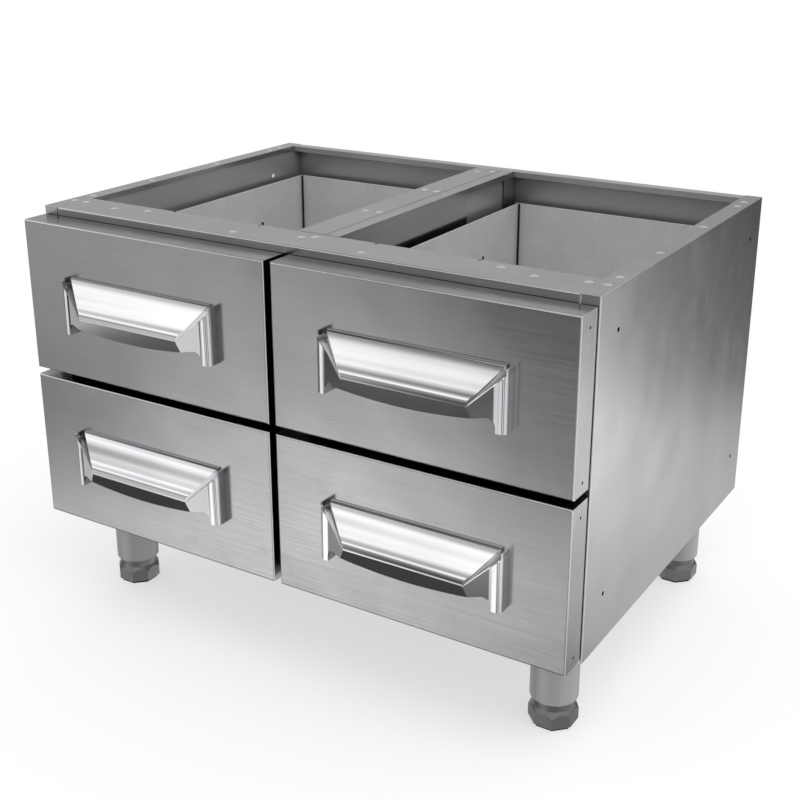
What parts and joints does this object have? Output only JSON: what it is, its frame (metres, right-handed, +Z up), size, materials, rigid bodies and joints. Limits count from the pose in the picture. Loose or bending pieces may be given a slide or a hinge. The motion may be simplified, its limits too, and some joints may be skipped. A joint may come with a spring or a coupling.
{
  "type": "outdoor kitchen drawer unit",
  "caption": "Free-standing stainless steel base unit with an open top and deep drawers on full-extension runners, cup handles and levelling legs.",
  "frame": {"origin": "on the floor, under the middle of the unit's bounding box", "axes": "+X to the right as seen from the front, -Y out of the drawer fronts, +Z up"},
  "size_m": [0.8, 0.617, 0.5685],
  "materials": {
    "satin_steel": "satin, fine horizontal grain",
    "brushed_front": "satin, fine horizontal grain along the width",
    "box_steel": "matt cold-rolled stainless sheet",
    "polished_steel": "polished",
    "leg_steel": "satin, turned",
    "foot_metal": "die-cast, satin",
    "zinc_steel": "zinc plated",
    "black_rubber": "matt"
  },
  "bodies": {
    "cabinet": {"left_side_panel": "satin_steel", "right_side_panel": "satin_steel", "back_panel": "satin_steel", "bottom_panel": "satin_steel", "left_liner": "satin_steel", "right_liner": "satin_steel", "divider_left_skin": "satin_steel", "divider_right_skin": "satin_steel", "top_front_rail": "satin_steel", "front_bumpers": "black_rubber", "leg_tubes": "leg_steel", "leg_inserts": "zinc_steel", "leg_bolts": "zinc_steel", "lower_left_fixed_runners": "zinc_steel", "lower_right_fixed_runners": "zinc_steel", "upper_left_fixed_runners": "zinc_steel", "upper_right_fixed_runners": "zinc_steel"},
    "lower_left_drawer": {"lower_left_front_skin": "brushed_front", "lower_left_front_backing": "satin_steel", "lower_left_drawer_box": "box_steel", "lower_left_handle": "polished_steel", "lower_left_drawer_runners": "zinc_steel"},
    "lower_left_slides": {"lower_left_middle_runners": "zinc_steel"},
    "lower_right_drawer": {"lower_right_front_skin": "brushed_front", "lower_right_front_backing": "satin_steel", "lower_right_drawer_box": "box_steel", "lower_right_handle": "polished_steel", "lower_right_drawer_runners": "zinc_steel"},
    "lower_right_slides": {"lower_right_middle_runners": "zinc_steel"},
    "upper_left_drawer": {"upper_left_front_skin": "brushed_front", "upper_left_front_backing": "satin_steel", "upper_left_drawer_box": "box_steel", "upper_left_handle": "polished_steel", "upper_left_drawer_runners": "zinc_steel"},
    "upper_left_slides": {"upper_left_middle_runners": "zinc_steel"},
    "upper_right_drawer": {"upper_right_front_skin": "brushed_front", "upper_right_front_backing": "satin_steel", "upper_right_drawer_box": "box_steel", "upper_right_handle": "polished_steel", "upper_right_drawer_runners": "zinc_steel"},
    "upper_right_slides": {"upper_right_middle_runners": "zinc_steel"},
    "front_left_leveller": {"front_left_foot": "foot_metal", "front_left_foot_pad": "black_rubber"},
    "front_right_leveller": {"front_right_foot": "foot_metal", "front_right_foot_pad": "black_rubber"},
    "rear_left_leveller": {"rear_left_foot": "foot_metal", "rear_left_foot_pad": "black_rubber"},
    "rear_right_leveller": {"rear_right_foot": "foot_metal", "rear_right_foot_pad": "black_rubber"}
  },
  "joints": [
    {"name": "lower_left_drawer_slide", "type": "slide", "parent": "cabinet", "child": "lower_left_drawer", "axis": [0, -1, 0], "range_m": [0, 0.45]},
    {"name": "lower_left_runner_slide", "type": "slide", "parent": "cabinet", "child": "lower_left_slides", "axis": [0, -1, 0], "range_m": [0, 0.225]},
    {"name": "lower_right_drawer_slide", "type": "slide", "parent": "cabinet", "child": "lower_right_drawer", "axis": [0, -1, 0], "range_m": [0, 0.45]},
    {"name": "lower_right_runner_slide", "type": "slide", "parent": "cabinet", "child": "lower_right_slides", "axis": [0, -1, 0], "range_m": [0, 0.225]},
    {"name": "upper_left_drawer_slide", "type": "slide", "parent": "cabinet", "child": "upper_left_drawer", "axis": [0, -1, 0], "range_m": [0, 0.45]},
    {"name": "upper_left_runner_slide", "type": "slide", "parent": "cabinet", "child": "upper_left_slides", "axis": [0, -1, 0], "range_m": [0, 0.225]},
    {"name": "upper_right_drawer_slide", "type": "slide", "parent": "cabinet", "child": "upper_right_drawer", "axis": [0, -1, 0], "range_m": [0, 0.45]},
    {"name": "upper_right_runner_slide", "type": "slide", "parent": "cabinet", "child": "upper_right_slides", "axis": [0, -1, 0], "range_m": [0, 0.225]},
    {"name": "front_left_foot_screw", "type": "slide", "parent": "cabinet", "child": "front_left_leveller", "axis": [0, 0, -1], "range_m": [0, 0.03]},
    {"name": "front_right_foot_screw", "type": "slide", "parent": "cabinet", "child": "front_right_leveller", "axis": [0, 0, -1], "range_m": [0, 0.03]},
    {"name": "rear_left_foot_screw", "type": "slide", "parent": "cabinet", "child": "rear_left_leveller", "axis": [0, 0, -1], "range_m": [0, 0.03]},
    {"name": "rear_right_foot_screw", "type": "slide", "parent": "cabinet", "child": "rear_right_leveller", "axis": [0, 0, -1], "range_m": [0, 0.03]}
  ],
  "couplings": [
    {"joint": "lower_left_runner_slide", "follows": "lower_left_drawer_slide", "ratio": 0.5},
    {"joint": "lower_right_runner_slide", "follows": "lower_right_drawer_slide", "ratio": 0.5},
    {"joint": "upper_left_runner_slide", "follows": "upper_left_drawer_slide", "ratio": 0.5},
    {"joint": "upper_right_runner_slide", "follows": "upper_right_drawer_slide", "ratio": 0.5}
  ]
}
